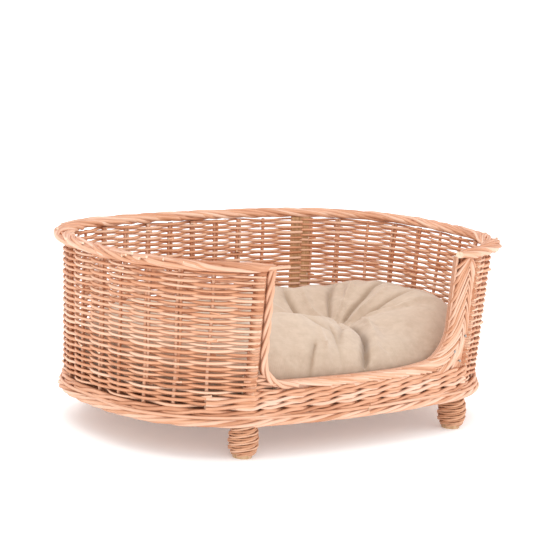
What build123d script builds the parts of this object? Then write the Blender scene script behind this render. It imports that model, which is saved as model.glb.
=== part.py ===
from build123d import *
import math
import os

# Wicker pet bed: an oval willow basket on four wound feet, with a low entry cut in the front
# wall and a loose cushion inside. Millimetres, +Z up, entry towards -Y. The origin lies on the
# floor, in the middle of the basket's overall length and width.

# ---- driving dimensions ----
plan_centre_y = -10.5        # middle of the ovals: the rim overhangs only at the back and the ends
foot_height = 46.0
wall_half_length = 342.0     # outer face of the wall, where it leaves the foot border
wall_half_width = 220.5
wall_corner_radius = 178.0   # the oval: four corner arcs, two long shallow arcs, two flat ends
wall_side_radius = 1150.0
wall_flare = 11.0            # the wall leans out this much from border to rim
rim_top = 290.0
rim_width = 32.0
rim_height = 16.0
wall_thickness = 14.0
border_overhang = 8.0        # foot border outside the wall
border_height = 12.0
upsett_height = 16.0
stake_diameter = 6.6
stake_count = 40
stick_diameter = 5.0
jamb_left = -200.0           # edges of the entry cut in the siding
jamb_right = 215.0
entry_left = -187.0          # edges of the clear entry, inside its plaited edging
entry_right = 168.0
sill_bottom = 92.0
sill_top = 112.0
corner_left = 28.0
corner_right = 55.0
edging_proud = 4.0           # edging stands out of the wall, inside and outside
slat_x = 187.0
slat_width = 38.0
slat_thickness = 7.0
foot_x = 209.0
foot_y = 190.0
foot_radius = 22.0           # at the fattest winding
peg_bottom_radius = 14.0
cushion_growth = -19.0       # the cushion's edge inside the foot of the wall
cushion_bottom = 63.0
cushion_top = 168.0
tuft_x = 120.0
cushion_round = 40.0         # rounding of the cushion's upper and lower edge
tuft_depth = 34.0
clearance = 0.2              # gap left round every part that sits in another

# ---- worked-out dimensions ----
base_bottom = foot_height
border_top = base_bottom + border_height
upsett_top = border_top + upsett_height
wall_top = rim_top - rim_height
jamb_post_radius = 5.0
jamb_post_inset = 6.0        # middle of a post behind the edge of the entry cut
jamb_post_left = jamb_left - jamb_post_inset
jamb_post_right = jamb_right + jamb_post_inset

os.makedirs("parts", exist_ok=True)


def save(shape, node):
    export_step(shape, f"parts/{node}.step")


# ---- the oval plan ----
side_centre = wall_half_width - wall_side_radius
corner_x = wall_half_length - wall_corner_radius
corner_reach = wall_side_radius - wall_corner_radius
corner_y = side_centre + math.sqrt(corner_reach ** 2 - corner_x ** 2)
corner_turn = math.degrees(math.atan2(corner_y - side_centre, corner_x))


def oval_wire(growth, z):
    """The wall's oval at its foot, moved out by growth; arcs keep their centres."""
    corner = wall_corner_radius + growth
    side = wall_side_radius + growth
    end = wall_half_length + growth
    quarter = CenterArc((corner_x, corner_y), corner, 0, corner_turn)
    right = quarter + CenterArc((0, side_centre), side, corner_turn, 180 - 2 * corner_turn)
    right = right + mirror(quarter, Plane.YZ) + Line((-end, corner_y), (-end, -corner_y))
    left = mirror(quarter, Plane.XZ) + CenterArc((0, -side_centre), side, -corner_turn,
                                                 2 * corner_turn - 180)
    left = left + mirror(mirror(quarter, Plane.XZ), Plane.YZ) + Line((end, corner_y), (end, -corner_y))
    return Pos(0, plan_centre_y, z) * Wire((right + left).edges())


def oval_block(growth, z_low, z_high):
    """Upright block on the oval."""
    return extrude(Face(oval_wire(growth, z_low)), z_high - z_low)


def wall_growth(z):
    """How far the wall's outer face stands outside its foot at a height."""
    return wall_flare * (z - border_top) / (wall_top - border_top)


def wall_block(offset, z_low, z_high):
    """Solid inside the wall's outer face moved out by offset, leaning out with the wall."""
    lean = math.degrees(math.atan2(wall_flare, wall_top - border_top))
    return extrude(Face(oval_wire(offset + wall_growth(z_low), z_low)), z_high - z_low, taper=-lean)


def wall_ring(outside, inside, z_low, z_high):
    return wall_block(outside, z_low, z_high) - wall_block(inside, z_low, z_high)


def wall_y(x, z, side):
    """Y of the middle of the wall's thickness at a given x; side is -1 at the front, 1 at the back."""
    growth = wall_growth(z) - wall_thickness / 2
    if abs(x) > corner_x + (wall_corner_radius + growth) * math.cos(math.radians(corner_turn)):
        reach = wall_corner_radius + growth
        half = corner_y + math.sqrt(reach ** 2 - (abs(x) - corner_x) ** 2)
    else:
        half = side_centre + math.sqrt((wall_side_radius + growth) ** 2 - x ** 2)
    return plan_centre_y + side * half


def rod(low, high, radius):
    """Straight round rod between two points, its ends cut level."""
    low = Vector(*low)
    high = Vector(*high)
    plane = Plane(origin=low, z_dir=high - low)
    reach = (high - low).length
    bar = extrude(plane.offset(-2 * radius) * Circle(radius), reach + 4 * radius)
    size = 4 * radius + 2 * reach
    keep = Pos(low.X, low.Y, (low.Z + high.Z) / 2) * Box(size, size, high.Z - low.Z)
    return bar & keep


# ---- entry cut: two nested U shapes, seen from the front ----
entry_reach = 400.0
entry_headroom = 60.0


def entry_block(left, right, bottom, radius_left, radius_right):
    """Tall block with two rounded lower corners, through the front wall."""
    top = rim_top + entry_headroom
    outline = Polyline((left, top), (left, bottom), (right, bottom), (right, top), close=True)
    face = Plane.XZ * make_face(outline)
    block = extrude(face, entry_reach)
    lower = [e for e in block.edges().filter_by(Axis.Y) if e.center().Z < bottom + 1]
    for edge in lower:
        radius = radius_left if edge.center().X < (left + right) / 2 else radius_right
        block = block.fillet(radius, [e for e in block.edges().filter_by(Axis.Y)
                                      if abs(e.center().X - edge.center().X) < 0.01
                                      and e.center().Z < bottom + 1])
    return block


edging_width_left = entry_left - jamb_left
edging_width_right = jamb_right - entry_right
entry_cut = entry_block(jamb_left, jamb_right, sill_bottom,
                        corner_left + edging_width_left / 2, corner_right + edging_width_right / 2)
entry_edging = entry_block(jamb_left + clearance, jamb_right - clearance, sill_bottom + clearance,
                           corner_left + edging_width_left / 2, corner_right + edging_width_right / 2)
entry_clear = entry_block(entry_left, entry_right, sill_top, corner_left, corner_right)

# ---- stakes, posts and slat: the wall's uprights ----
stake_foot = oval_wire(-wall_thickness / 2, border_top)
stake_head = oval_wire(wall_flare - wall_thickness / 2, wall_top)
stake_nodes = {"stakes_left_end": [], "stakes_back": [], "stakes_right_end": [], "stakes_front": []}
channels = []
post_gap = 18.0
slat_gap = 26.0
for number in range(stake_count):
    share = (number + 0.5) / stake_count
    low_point = stake_foot @ share
    high_point = stake_head @ share
    at_front = low_point.Y < plan_centre_y
    near_post = at_front and min(abs(low_point.X - jamb_post_left),
                                 abs(low_point.X - jamb_post_right)) < post_gap
    near_slat = not at_front and abs(low_point.X - slat_x) < slat_gap
    if near_post or near_slat:
        continue
    if at_front and jamb_left < low_point.X < jamb_right:
        short = (sill_bottom - border_top) / (wall_top - border_top)
        high_point = low_point + (high_point - low_point) * short
        node = "stakes_front"
    elif low_point.X < jamb_left:
        node = "stakes_left_end"
    elif low_point.X > jamb_right:
        node = "stakes_right_end"
    else:
        node = "stakes_back"
    stake_nodes[node].append(rod(low_point, high_point, stake_diameter / 2))
    channels.append(rod(low_point - Vector(0, 0, 1), high_point + Vector(0, 0, 1),
                        stake_diameter / 2 + clearance))

post_nodes = {}
for node, x in (("left_jamb_post", jamb_post_left), ("right_jamb_post", jamb_post_right)):
    low_point = Vector(x, wall_y(x, border_top, -1), border_top)
    high_point = Vector(x, wall_y(x, wall_top, -1), wall_top)
    post_nodes[node] = rod(low_point, high_point, jamb_post_radius)
    channels.append(rod(low_point - Vector(0, 0, 1), high_point + Vector(0, 0, 1),
                        jamb_post_radius + clearance))

slat_step = slat_width / 2
slat_rise = wall_y(slat_x + slat_step, wall_top, 1) - wall_y(slat_x - slat_step, wall_top, 1)
slat_turn = math.degrees(math.atan2(slat_rise, 2 * slat_step))


def slat_bar(width, thickness, z_low, z_high):
    """Flat lath standing in the back wall, turned to follow the oval."""
    sections = []
    for z in (z_low, z_high):
        place = Plane(origin=(slat_x, wall_y(slat_x, z, 1), z)).rotated((0, 0, slat_turn))
        sections.append(place * Rectangle(width, thickness))
    return loft(sections, ruled=True)


back_slat = slat_bar(slat_width, slat_thickness, border_top, wall_top)
channels.append(slat_bar(slat_width + 2 * clearance, slat_thickness + 2 * clearance,
                         border_top - 1, wall_top + 1))

# ---- nails that hold the end of the plait ----
nail_radius = 1.6
nail_reach = 12.0


def nail(x, z, radius):
    """Small round nail driven square into the front wall."""
    y = wall_y(x, z, -1) - wall_thickness / 2 - edging_proud
    return Pos(x, y, z) * Rot(90, 0, 0) * Cylinder(radius, nail_reach,
                                                  align=(Align.CENTER, Align.CENTER, Align.MAX))


nail_places = [(184, 128), (200, 112), (206, 150)]
plait_nails = [nail(x, z, nail_radius) for x, z in nail_places]
nail_holes = [nail(x, z, nail_radius + clearance) for x, z in nail_places]
save(Compound(children=plait_nails), "plait_nails")

# ---- base: long sticks below, cross sticks above, bound by the base weave ----
weave_growth = -6.0
stick_reach = 16.0           # sticks stop this far inside the edge of the weave
stick_radius = stick_diameter / 2
stick_rise = 2.9             # each layer of sticks lies this far from the middle of the base
long_stick_count = 5
long_stick_pitch = 78.0
cross_stick_count = 12
cross_stick_pitch = 54.0
long_stick_z = base_bottom + border_height / 2 - stick_rise
cross_stick_z = base_bottom + border_height / 2 + stick_rise


def base_stick(centre, length, axis, z, radius):
    turn = Rot(0, 90, 0) if axis == "x" else Rot(90, 0, 0)
    return Pos(centre[0], centre[1], z) * turn * Cylinder(radius, length)


def base_half_width(x):
    """Half width of the base weave at a given x."""
    corner = wall_corner_radius + weave_growth
    if abs(x) < corner_x:
        return wall_half_width + weave_growth - x ** 2 / (2 * wall_side_radius)
    return corner_y + math.sqrt(corner ** 2 - (abs(x) - corner_x) ** 2)


def base_half_length(y):
    """Half length of the base weave at a given distance from its middle line."""
    corner = wall_corner_radius + weave_growth
    if abs(y) < corner_y:
        return wall_half_length + weave_growth
    return corner_x + math.sqrt(corner ** 2 - (abs(y) - corner_y) ** 2)


long_sticks = []
cross_sticks = []
stick_grooves = []
for row in range(long_stick_count):
    y = (row - (long_stick_count - 1) / 2) * long_stick_pitch
    half = base_half_length(y) - stick_reach
    centre = (0, y + plan_centre_y)
    long_sticks.append(base_stick(centre, 2 * half, "x", long_stick_z, stick_radius))
    stick_grooves.append(base_stick(centre, 2 * half + 1, "x", long_stick_z, stick_radius + clearance))
for column in range(cross_stick_count):
    x = (column - (cross_stick_count - 1) / 2) * cross_stick_pitch
    half = base_half_width(x) - stick_reach
    centre = (x, plan_centre_y)
    cross_sticks.append(base_stick(centre, 2 * half, "y", cross_stick_z, stick_radius))
    stick_grooves.append(base_stick(centre, 2 * half + 1, "y", cross_stick_z, stick_radius + clearance))

# ---- feet: turned pegs, wound with willow, each glued on a dowel under the border ----
dowel_radius = 5.0
dowel_bottom = 16.0
dowel_top = border_top - 0.5
winding_bottom = 5.0


def barrel(low_radius, middle_radius, high_radius, z_low, z_high):
    """Barrel-shaped solid of revolution about Z; its side is one arc."""
    middle = (z_low + z_high) / 2
    side = ThreePointArc((low_radius, 0, z_low), (middle_radius, 0, middle), (high_radius, 0, z_high))
    outline = [Line((0, 0, z_low), (low_radius, 0, z_low)), side,
               Line((high_radius, 0, z_high), (0, 0, z_high)), Line((0, 0, z_high), (0, 0, z_low))]
    return revolve(make_face(outline), Axis.Z)


peg_middle_radius = 16.5
peg_top_radius = 14.5
winding_end_radius = 18.5
peg = barrel(peg_bottom_radius, peg_middle_radius, peg_top_radius, 0, foot_height)
peg_room = barrel(peg_bottom_radius + clearance, peg_middle_radius + clearance,
                  peg_top_radius + clearance, 0, foot_height)
winding = barrel(winding_end_radius, foot_radius, winding_end_radius, winding_bottom,
                 foot_height) - peg_room
upright = (Align.CENTER, Align.CENTER, Align.MIN)
bore = Pos(0, 0, dowel_bottom) * Cylinder(dowel_radius + clearance, border_top - dowel_bottom + 1,
                                          align=upright)
dowel = Pos(0, 0, dowel_bottom + 1) * Cylinder(dowel_radius, dowel_top - dowel_bottom - 1, align=upright)
peg = peg - bore
feet = {"front_left": (-foot_x, -foot_y), "front_right": (foot_x, -foot_y),
        "back_left": (-foot_x, foot_y), "back_right": (foot_x, foot_y)}
dowels = []
bores = []
for place, (x, y) in feet.items():
    spot = Pos(x, y + plan_centre_y, 0)
    save(spot * peg, f"foot_peg_{place}")
    save(spot * winding, f"foot_winding_{place}")
    dowels.append(spot * dowel)
    bores.append(spot * bore)
save(Compound(children=dowels), "foot_dowels")

save(Compound(children=long_sticks), "base_long_sticks")
save(Compound(children=cross_sticks), "base_cross_sticks")
base_weave = oval_block(weave_growth, base_bottom, border_top) - stick_grooves - bores
save(base_weave, "base_weave")

# ---- foot border, upsett and the wall above them ----
foot_border = (oval_block(border_overhang, base_bottom, border_top)
               - oval_block(weave_growth + clearance, base_bottom, border_top)) - bores
save(foot_border, "foot_border")

upsett_proud = 2.5
upsett_wale = wall_ring(upsett_proud, -wall_thickness, border_top, upsett_top) - channels
save(upsett_wale, "upsett_wale")

whole_wall = wall_ring(0, -wall_thickness, upsett_top, wall_top) - entry_cut - channels - nail_holes
span = 2 * wall_half_length


def slab(x_low, x_high, y_low, y_high, z_low=upsett_top, z_high=wall_top):
    return Pos((x_low + x_high) / 2, (y_low + y_high) / 2, (z_low + z_high) / 2) * Box(
        x_high - x_low, y_high - y_low, z_high - z_low)


siding_split = {"siding_left_end": slab(-span, jamb_left, -span, span),
                "siding_right_end": slab(jamb_right, span, -span, span),
                "siding_back": slab(jamb_left, jamb_right, plan_centre_y, span),
                "front_wale": slab(jamb_left, jamb_right, -span, plan_centre_y)}
for node, region in siding_split.items():
    save(whole_wall & region, node)
for node, stakes in stake_nodes.items():
    save(Compound(children=stakes), node)
for node, post in post_nodes.items():
    save(post, node)
save(back_slat, "back_slat")

# ---- plaited and roped edging of the entry ----
edging = wall_ring(edging_proud, -wall_thickness - edging_proud, sill_bottom, wall_top)
edging = (edging & entry_edging) - entry_clear
edging_post_channels = [rod((x, wall_y(x, border_top, -1), border_top),
                            (x, wall_y(x, wall_top, -1), wall_top), jamb_post_radius + clearance)
                        for x in (jamb_post_left, jamb_post_right)]
edging = edging - edging_post_channels - nail_holes
rope_end = entry_left + corner_left
plait_start = entry_right - corner_right
edging_split = {"left_jamb_rope": slab(-span, rope_end, -span, plan_centre_y, 0),
                "sill_plait": slab(rope_end, plait_start, -span, plan_centre_y, 0),
                "right_jamb_plait": slab(plait_start, span, -span, plan_centre_y, 0)}
for node, region in edging_split.items():
    save(edging & region, node)

# ---- rolled rim ----
rim_round = 6.5
rim_middle = wall_flare - 1.0
rim_outer = oval_block(rim_middle + rim_width / 2, wall_top, rim_top)
rim_outer = rim_outer.fillet(rim_round, rim_outer.edges().filter_by(Axis.Z, reverse=True))
rim_inner = oval_block(rim_middle - rim_width / 2, wall_top, rim_top)
rim_gap = slab(entry_left, entry_right, -span, plan_centre_y, wall_top - 10, rim_top + 10)
save(rim_outer - rim_inner - rim_gap, "rim_border")

# ---- cushion: cover, filling and the two tuft ties ----
cover_thickness = 2.5


def cushion_body(inset):
    low = cushion_bottom + inset
    high = cushion_top - inset
    body = oval_block(cushion_growth - inset, low, high)
    rounded = [e for e in body.edges() if abs(e.center().Z - low) < 0.01 or abs(e.center().Z - high) < 0.01]
    body = body.fillet(cushion_round - inset, rounded)
    ball = 2 * tuft_depth + inset
    for x in (-tuft_x, tuft_x):
        body = body - Pos(x, plan_centre_y, cushion_top + tuft_depth) * Sphere(ball)
    return body


filling = cushion_body(cover_thickness)
cover_outer = cushion_body(0)
cover_overlap = 0.1          # the filling stands this far clear of the cover's inside
tie_radius = 1.5
knot_radius = 5.0
knot_height = 1.5
knot_lift = 0.3
tie_room = Cylinder(tie_radius + clearance, cushion_top, align=upright)
tie_hole = [Pos(x, plan_centre_y, cushion_bottom) * tie_room for x in (-tuft_x, tuft_x)]
save(cover_outer - cushion_body(cover_thickness - cover_overlap) - tie_hole, "cushion_cover")
save(filling - tie_hole, "cushion_filling")
tie_length = cushion_top - tuft_depth - cushion_bottom
tie = Cylinder(tie_radius, tie_length + knot_lift, align=upright)
knot = Pos(0, 0, tie_length + knot_lift) * Cylinder(knot_radius, knot_height, align=upright)
ties = [Pos(x, plan_centre_y, cushion_bottom) * (tie + knot) for x in (-tuft_x, tuft_x)]
save(Compound(children=ties), "cushion_tuft_ties")
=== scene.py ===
import math

import bpy
import numpy as np
from mathutils import Matrix, Vector


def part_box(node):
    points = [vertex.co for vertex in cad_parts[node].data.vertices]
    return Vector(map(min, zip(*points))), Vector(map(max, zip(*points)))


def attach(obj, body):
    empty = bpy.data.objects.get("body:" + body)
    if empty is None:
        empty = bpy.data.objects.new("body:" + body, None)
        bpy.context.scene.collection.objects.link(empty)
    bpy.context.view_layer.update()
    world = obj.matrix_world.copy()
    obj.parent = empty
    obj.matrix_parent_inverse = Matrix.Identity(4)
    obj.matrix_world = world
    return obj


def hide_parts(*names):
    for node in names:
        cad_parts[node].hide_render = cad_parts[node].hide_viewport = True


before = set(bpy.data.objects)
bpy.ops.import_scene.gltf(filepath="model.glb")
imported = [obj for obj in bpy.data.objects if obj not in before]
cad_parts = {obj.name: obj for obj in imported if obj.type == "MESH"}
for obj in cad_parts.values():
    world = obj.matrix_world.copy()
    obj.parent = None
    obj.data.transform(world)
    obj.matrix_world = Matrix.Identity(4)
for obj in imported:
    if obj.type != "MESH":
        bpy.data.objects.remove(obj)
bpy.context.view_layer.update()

# ---------------------------------------------------------------------------------------------
# Viewpoint, floor and light. The bed stands on a pale studio floor under broad soft lights, seen
# from a little above, with the entry facing half left.
# ---------------------------------------------------------------------------------------------
camera_place = Vector((-2.0064, -2.4066, 0.7555))
camera_right = Vector((0.77662, -0.62666, 0.06445))
camera_up = Vector((0.05405, 0.16821, 0.98427))
camera_data = bpy.data.cameras.new("camera")
camera_data.lens = 136.9
camera_data.sensor_width = 36.0
camera_data.clip_end = 50.0
camera = bpy.data.objects.new("camera", camera_data)
camera_back = camera_right.cross(camera_up).normalized()
camera_turn = Matrix((camera_right, camera_up, camera_back)).transposed().to_4x4()
camera.matrix_world = Matrix.Translation(camera_place) @ camera_turn
bpy.context.scene.collection.objects.link(camera)
bpy.context.scene.camera = camera


def soft_light(name, place, target, size, power, colour):
    """Square area light at a place, facing a target."""
    data = bpy.data.lights.new(name, "AREA")
    data.shape = "SQUARE"
    data.size = size
    data.energy = power
    data.color = colour
    light = bpy.data.objects.new(name, data)
    aim = Vector(target) - Vector(place)
    light.matrix_world = Matrix.Translation(place) @ aim.to_track_quat("-Z", "Y").to_matrix().to_4x4()
    bpy.context.scene.collection.objects.link(light)


bed_middle = (0.0, 0.0, 0.15)
soft_light("light_above", (-0.4, 0.5, 2.6), bed_middle, 3.0, 34.0, (1.0, 0.99, 0.98))
soft_light("light_right", (2.3, -0.6, 1.3), bed_middle, 2.0, 17.0, (1.0, 0.99, 0.98))
soft_light("light_front", (-1.6, -2.8, 1.5), bed_middle, 2.2, 17.0, (1.0, 0.99, 0.98))
soft_light("light_behind", (0.3, 2.8, 1.2), (0.0, 0.0, 0.2), 2.6, 22.0, (1.0, 1.0, 1.0))

world = bpy.data.worlds.new("studio")
world.use_nodes = True
world_back = world.node_tree.nodes["Background"]
world_back.inputs["Color"].default_value = (1.0, 1.0, 1.0, 1.0)
world_back.inputs["Strength"].default_value = 1.0
bpy.context.scene.world = world
bpy.context.scene.view_settings.view_transform = "Standard"

floor_reach = 30.0
floor_mesh = bpy.data.meshes.new("floor")
floor_mesh.from_pydata([(-floor_reach, -floor_reach, 0), (floor_reach, -floor_reach, 0),
                        (floor_reach, floor_reach, 0), (-floor_reach, floor_reach, 0)], [],
                       [(0, 1, 2, 3)])
floor = bpy.data.objects.new("floor", floor_mesh)
bpy.context.scene.collection.objects.link(floor)
floor_paint = bpy.data.materials.new("floor_paint")
floor_paint.use_nodes = True
floor_shader = floor_paint.node_tree.nodes["Principled BSDF"]
floor_shader.inputs["Base Color"].default_value = (0.93, 0.93, 0.935, 1.0)
floor_shader.inputs["Roughness"].default_value = 0.75
floor_shader.inputs["Emission Color"].default_value = (1.0, 1.0, 1.0, 1.0)
floor_shader.inputs["Emission Strength"].default_value = 0.22
floor_mesh.materials.append(floor_paint)

# ---------------------------------------------------------------------------------------------
# Stakes and jamb posts. Peeled willow rods stand in the base and carry the weave; thicker posts
# stand at both sides of the entry. They are set where the frame's own stakes stand.
# ---------------------------------------------------------------------------------------------
rng = np.random.default_rng(7)
plan_centre_y = -0.0105
wall_half_length = 0.342
wall_half_width = 0.2205
corner_radius = 0.178
side_radius = 1.150
wall_thickness = 0.014
wall_flare = 0.011
weave_foot = float(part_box("siding_back")[0][2]) - 0.016
weave_head = float(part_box("siding_back")[1][2])
rim_head = float(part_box("rim_border")[1][2])

side_centre = side_radius - wall_half_width
corner_x = wall_half_length - corner_radius
corner_y = math.sqrt((side_radius - corner_radius) ** 2 - corner_x ** 2) - side_centre
side_turn = math.atan2(corner_x, corner_y + side_centre)
side_length = side_radius * side_turn
corner_length = corner_radius * (math.pi / 2 - side_turn)
quarter_length = side_length + corner_length + corner_y
round_length = 4 * quarter_length


def foot_oval(s):
    """Point and outward normal of the wall's foot at a length s along it, from the middle of the
    front towards +X: a shallow side arc, a corner arc and a flat end, mirrored for the others."""
    s = np.mod(np.asarray(s, dtype=float), round_length)
    back = (s > quarter_length) & (s < 3 * quarter_length)
    left = s > 2 * quarter_length
    q = np.where(left, round_length - s, s)
    q = np.where(q > quarter_length, 2 * quarter_length - q, q)
    side = q < side_length
    corner = (q >= side_length) & (q < side_length + corner_length)
    turn = np.where(side, q / side_radius, side_turn + (q - side_length) / corner_radius)
    turn = np.where(side | corner, turn, math.pi / 2)
    x = np.where(side, side_radius * np.sin(turn), corner_x + corner_radius * np.sin(turn))
    y = np.where(side, side_centre - side_radius * np.cos(turn), -corner_y - corner_radius * np.cos(turn))
    y = np.where(side | corner, y, q - quarter_length)
    across = np.where(left, -1.0, 1.0)
    along = np.where(back, -1.0, 1.0)
    normal = np.stack([np.sin(turn) * across, -np.cos(turn) * along, np.zeros_like(q)], -1)
    return np.stack([x * across, y * along + plan_centre_y, np.zeros_like(q)], -1), normal


def wall_point(s, z, out):
    """Point of the wall: the foot oval moved along its own normal by the lean at that height, and
    by out from the middle of the wall's thickness."""
    s, z, out = np.broadcast_arrays(np.asarray(s, float), np.asarray(z, float), np.asarray(out, float))
    foot, normal = foot_oval(s)
    lean = wall_flare * (z - weave_foot) / (weave_head - weave_foot)
    point = foot + normal * (lean + out - wall_thickness / 2)[..., None]
    point[..., 2] = z
    return point, normal


def length_of(points):
    """Length along each path up to each of its points."""
    steps = np.linalg.norm(np.diff(points, axis=-2), axis=-1)
    return np.concatenate([np.zeros(points.shape[:-2] + (1,)), np.cumsum(steps, -1)], -1)


def rod_mesh(name, paths, radii, guide, sides=7, tone=None, closed=False):
    """Round rods: a circle of each path's radius carried along it, square to it, with one end of
    the circle towards the guide vector. Rods are arrays (rod, point, 3). UV runs in decimetres
    along the rod and once round it, and each rod has its own tone, length offset and pith."""
    count, points = paths.shape[:2]
    if closed:
        tangent = np.roll(paths, -1, 1) - np.roll(paths, 1, 1)
    else:
        tangent = np.gradient(paths, axis=1)
    tangent /= np.linalg.norm(tangent, axis=-1, keepdims=True) + 1e-12
    guide = np.broadcast_to(guide, paths.shape)
    side = np.cross(tangent, guide)
    side /= np.linalg.norm(side, axis=-1, keepdims=True) + 1e-12
    lift = np.cross(side, tangent)
    angle = np.arange(sides) * 2 * math.pi / sides
    ring = (np.cos(angle)[:, None] * lift[:, :, None, :] + np.sin(angle)[:, None] * side[:, :, None, :])
    radii = np.broadcast_to(radii, paths.shape[:2])
    verts = paths[:, :, None, :] + ring * radii[:, :, None, None]
    run = points if closed else points - 1
    rod, i, k = np.meshgrid(np.arange(count), np.arange(run), np.arange(sides), indexing="ij")
    j = (i + 1) % points
    m = (k + 1) % sides

    def index(a, b, c):
        """Number of the corner c of ring b of rod a, counted rod by rod and ring by ring."""
        return ((a * points + b) * sides + c).ravel()

    faces = np.stack([index(rod, i, k), index(rod, i, m), index(rod, j, m), index(rod, j, k)], -1)
    along = length_of(paths) * 10.0 + rng.uniform(0, 50, (count, 1))
    last = along[:, -1:] + (along[:, 1:2] - along[:, :1])
    along = np.concatenate([along, last], 1)
    a0 = along[rod, i].ravel()
    a1 = along[rod, i + 1].ravel()
    v0 = (k / sides).ravel()
    v1 = ((k + 1) / sides).ravel()
    uv = np.stack([np.stack([a0, v0], -1), np.stack([a0, v1], -1), np.stack([a1, v1], -1),
                   np.stack([a1, v0], -1)], 1).reshape(-1, 2)
    flat_verts = verts.reshape(-1, 3)
    if tone is None:
        tone = rng.uniform(0, 1, count)
    tones = np.repeat(np.broadcast_to(tone, (count,)), points * sides)
    ends = np.zeros(len(flat_verts))
    mesh = bpy.data.meshes.new(name)
    if closed:
        loops = faces.ravel()
        starts = np.arange(len(faces)) * 4
        totals = np.full(len(faces), 4)
    else:
        first = (np.arange(count)[:, None] * points * sides + np.arange(sides)[::-1])
        final = (np.arange(count)[:, None] * points * sides + (points - 1) * sides + np.arange(sides))
        caps = np.concatenate([first, final])
        extra = len(flat_verts)
        flat_verts = np.concatenate([flat_verts, flat_verts[caps.ravel()]])
        tones = np.concatenate([tones, tones[caps.ravel()]])
        ends = np.concatenate([ends, np.ones(caps.size)])
        loops = np.concatenate([faces.ravel(), extra + np.arange(caps.size)])
        starts = np.concatenate([np.arange(len(faces)) * 4,
                                 len(faces) * 4 + np.arange(len(caps)) * sides])
        totals = np.concatenate([np.full(len(faces), 4), np.full(len(caps), sides)])
        cap_uv = np.stack([np.cos(angle), np.sin(angle)], -1) * 0.05
        uv = np.concatenate([uv, np.tile(cap_uv, (len(caps), 1))])
    mesh.vertices.add(len(flat_verts))
    mesh.vertices.foreach_set("co", flat_verts.astype(np.float32).ravel())
    mesh.loops.add(len(loops))
    mesh.loops.foreach_set("vertex_index", loops.astype(np.int32))
    mesh.polygons.add(len(starts))
    mesh.polygons.foreach_set("loop_start", starts.astype(np.int32))
    mesh.polygons.foreach_set("loop_total", totals.astype(np.int32))
    mesh.update(calc_edges=True)
    mesh.uv_layers.new(name="along")
    mesh.uv_layers["along"].data.foreach_set("uv", uv.astype(np.float32).ravel())
    for key, values in (("tone", tones), ("cut_end", ends)):
        layer = mesh.attributes.new(key, "FLOAT", "POINT")
        layer.data.foreach_set("value", values.astype(np.float32))
    mesh.shade_smooth()
    piece = bpy.data.objects.new(name, mesh)
    bpy.context.scene.collection.objects.link(piece)
    return piece


def joined(name, pieces):
    """One piece made of several, in order."""
    bpy.ops.object.select_all(action="DESELECT")
    for piece in pieces:
        piece.select_set(True)
    bpy.context.view_layer.objects.active = pieces[0]
    bpy.ops.object.join()
    pieces[0].name = name
    return pieces[0]


def add_noise(tree, vector, scale, detail=2.0, roughness=0.5, distortion=0.0):
    """Cloudy noise: octaves of detail, each weaker than the last by the roughness, over a vector or,
    where there is none, over the piece's own bounding box."""
    noise = tree.nodes.new("ShaderNodeTexNoise")
    noise.inputs["Detail"].default_value = detail
    noise.inputs["Roughness"].default_value = roughness
    noise.inputs["Distortion"].default_value = distortion
    if isinstance(scale, float):
        noise.inputs["Scale"].default_value = scale
    else:
        tree.links.new(scale, noise.inputs["Scale"])
    if vector is not None:
        tree.links.new(vector, noise.inputs["Vector"])
    return noise.outputs["Fac"]


def add_range(tree, value, low, high, to_low=0.0, to_high=1.0):
    """Value between low and high, spread evenly and held between to_low and to_high."""
    spread = tree.nodes.new("ShaderNodeMapRange")
    spread.inputs["From Min"].default_value = low
    spread.inputs["From Max"].default_value = high
    spread.inputs["To Min"].default_value = to_low
    spread.inputs["To Max"].default_value = to_high
    tree.links.new(value, spread.inputs["Value"])
    return spread.outputs[0]


def add_mix(tree, factor, first, second):
    """First colour where the factor is 0 and second where it is 1; each a socket or a colour."""
    mix = tree.nodes.new("ShaderNodeMix")
    mix.data_type = "RGBA"
    tree.links.new(factor, mix.inputs["Factor"])
    for socket, colour in ((mix.inputs[6], first), (mix.inputs[7], second)):
        if isinstance(colour, tuple):
            socket.default_value = (*colour, 1)
        else:
            tree.links.new(colour, socket)
    return mix.outputs[2]


def add_ramp(tree, value, stops):
    """Colour read from stops of place and colour, blended evenly between neighbours."""
    ramp = tree.nodes.new("ShaderNodeValToRGB")
    for element, (place, colour) in zip(ramp.color_ramp.elements, (stops[0], stops[-1])):
        element.position = place
        element.color = (*colour, 1)
    for place, colour in stops[1:-1]:
        ramp.color_ramp.elements.new(place).color = (*colour, 1)
    tree.links.new(value, ramp.inputs["Fac"])
    return ramp.outputs["Color"]


def add_bump(tree, height, strength, distance, normal=None):
    """Surface tilted by the slope of a height, over the tilt that it already has."""
    bump = tree.nodes.new("ShaderNodeBump")
    bump.inputs["Strength"].default_value = strength
    bump.inputs["Distance"].default_value = distance
    tree.links.new(height, bump.inputs["Height"])
    if normal is not None:
        tree.links.new(normal, bump.inputs["Normal"])
    return bump.outputs["Normal"]


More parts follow.
